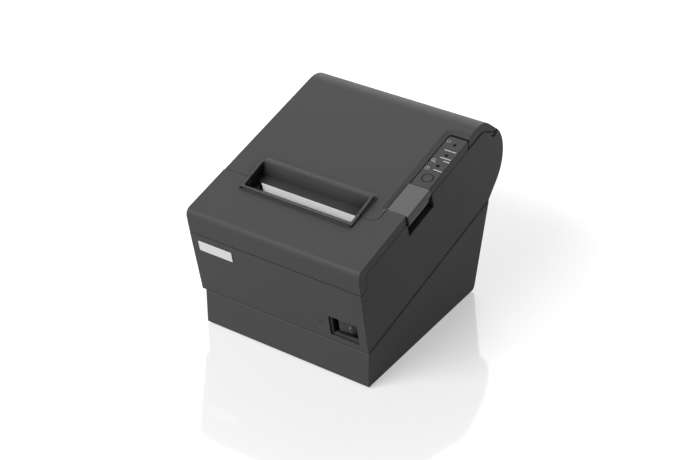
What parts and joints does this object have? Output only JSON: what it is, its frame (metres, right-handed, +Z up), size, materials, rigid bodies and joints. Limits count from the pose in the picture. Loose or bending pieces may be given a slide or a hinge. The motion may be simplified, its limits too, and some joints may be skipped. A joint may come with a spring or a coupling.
{
  "type": "receipt printer",
  "caption": "Thermal receipt printer with a hinged roll cover, sliding cutter cover, opening lever, control panel, power switch, drop-in paper roll, platen drive and auto cutter.",
  "frame": {"origin": "on the surface it stands on, below the middle of its bounding box", "axes": "+X towards the lever and control panel side, +Y from the paper outlet's front to the rear connectors, +Z up"},
  "size_m": [0.146, 0.1936, 0.1433],
  "materials": {
    "case_plastic": "fine grained moulded plastic",
    "foot_rubber": "matte rubber",
    "steel": "zinc plated",
    "badge_plastic": "satin plate",
    "black_plastic": "satin moulded plastic",
    "cover_plastic": "fine grained moulded plastic",
    "blade_steel": "ground",
    "ivory_plastic": "moulded plastic",
    "platen_rubber": "ground rubber",
    "head_ceramic": "glazed",
    "heatsink_metal": "extruded",
    "green_plastic": "moulded plastic",
    "lever_plastic": "fine grained moulded plastic",
    "board": "lacquered board",
    "white_plastic": "satin moulded plastic",
    "paper": "smooth thermal paper",
    "core_card": "rolled card"
  },
  "bodies": {
    "case": {"lower_case": "case_plastic", "upper_case": "case_plastic", "rubber_feet": "foot_rubber", "case_screws": "steel", "switch_setting_cover": "case_plastic", "badge_plate": "badge_plastic", "switch_housing": "black_plastic", "feed_motor": "steel", "mechanism_frame": "steel", "thermal_head": "head_ceramic", "head_heatsink": "heatsink_metal", "head_spring": "steel", "cutter_frame": "steel", "cutter_motor": "steel", "lever_pin": "steel", "control_panel": "cover_plastic", "panel_board": "board", "lamp_lenses": "black_plastic", "paper_bin": "black_plastic", "paper_lead": "paper", "main_board": "board", "interface_board": "board", "connector_plate": "steel", "plate_screws": "steel", "power_socket": "black_plastic", "drawer_socket": "black_plastic", "data_socket": "steel", "network_socket": "steel"},
    "roll_cover": {"roll_cover": "cover_plastic", "cover_liner": "black_plastic", "hinge_pins": "steel", "fixed_blade": "blade_steel", "platen_bushes": "ivory_plastic", "paper_web": "paper"},
    "platen": {"platen_roller": "platen_rubber", "platen_shaft": "steel", "platen_gear": "ivory_plastic"},
    "reduction_gear": {"reduction_gear": "ivory_plastic"},
    "motor_pinion": {"motor_pinion": "steel"},
    "paper_roll": {"paper_roll": "paper", "paper_core": "core_card"},
    "cutter_cover": {"cutter_cover": "cover_plastic"},
    "open_lever": {"open_lever": "lever_plastic"},
    "power_rocker": {"power_rocker": "black_plastic"},
    "feed_button": {"feed_button": "cover_plastic"},
    "moving_blade": {"moving_blade": "blade_steel"},
    "cutter_dial": {"cutter_dial": "green_plastic"},
    "near_end_lever": {"near_end_lever": "white_plastic"}
  },
  "joints": [
    {"name": "roll_cover_hinge", "type": "hinge", "parent": "case", "child": "roll_cover", "pos_m": [-0.0005, 0.08112, 0.12897], "axis": [-1, 0, 0], "range_deg": [0, 80]},
    {"name": "platen_spin", "type": "hinge", "parent": "roll_cover", "child": "platen", "pos_m": [-0.0005, -0.0364, 0.0947], "axis": [1, 0, 0], "continuous": true},
    {"name": "reduction_spin", "type": "hinge", "parent": "case", "child": "reduction_gear", "pos_m": [-0.0005, -0.03013, 0.07319], "axis": [1, 0, 0], "continuous": true},
    {"name": "motor_spin", "type": "hinge", "parent": "case", "child": "motor_pinion", "pos_m": [-0.0005, -0.04231, 0.05967], "axis": [1, 0, 0], "continuous": true},
    {"name": "roll_spin", "type": "hinge", "parent": "case", "child": "paper_roll", "pos_m": [-0.004, 0.01606, 0.0555], "axis": [1, 0, 0], "continuous": true},
    {"name": "cutter_cover_slide", "type": "slide", "parent": "case", "child": "cutter_cover", "axis": [0, -1, 0], "range_m": [0, 0.016]},
    {"name": "open_lever_press", "type": "hinge", "parent": "case", "child": "open_lever", "pos_m": [0.0656, -0.01309, 0.11989], "axis": [1, 0, 0], "range_deg": [0, 10], "stiffness_Nm_per_rad": 0.2, "springref_deg": -5.73},
    {"name": "power_rocker_tilt", "type": "hinge", "parent": "case", "child": "power_rocker", "pos_m": [0.0536, -0.07723, 0.04511], "axis": [0, -0.193, 0.9812], "range_deg": [-18, 0]},
    {"name": "feed_button_press", "type": "slide", "parent": "case", "child": "feed_button", "axis": [0, 0.2521, -0.9677], "range_m": [0, 0.001], "stiffness_N_per_m": 400, "springref_m": -0.0005},
    {"name": "cutter_blade_slide", "type": "slide", "parent": "case", "child": "moving_blade", "axis": [0, 0.9677, 0.2521], "range_m": [0, 0.0045]},
    {"name": "cutter_dial_turn", "type": "hinge", "parent": "case", "child": "cutter_dial", "pos_m": [0.0269, -0.0664, 0.09877], "axis": [0, -0.2521, 0.9677], "range_deg": [-56, 0]},
    {"name": "near_end_lever_tilt", "type": "hinge", "parent": "case", "child": "near_end_lever", "pos_m": [-0.04695, 0.04006, 0.0495], "axis": [1, 0, 0], "range_deg": [0, 12]}
  ],
  "couplings": [
    {"joint": "reduction_spin", "follows": "platen_spin", "ratio": -0.6},
    {"joint": "motor_spin", "follows": "platen_spin", "ratio": 2},
    {"joint": "roll_spin", "follows": "platen_spin", "ratio": 0.16316},
    {"joint": "cutter_dial_turn", "follows": "cutter_blade_slide", "rad_per_m": -204.08}
  ]
}
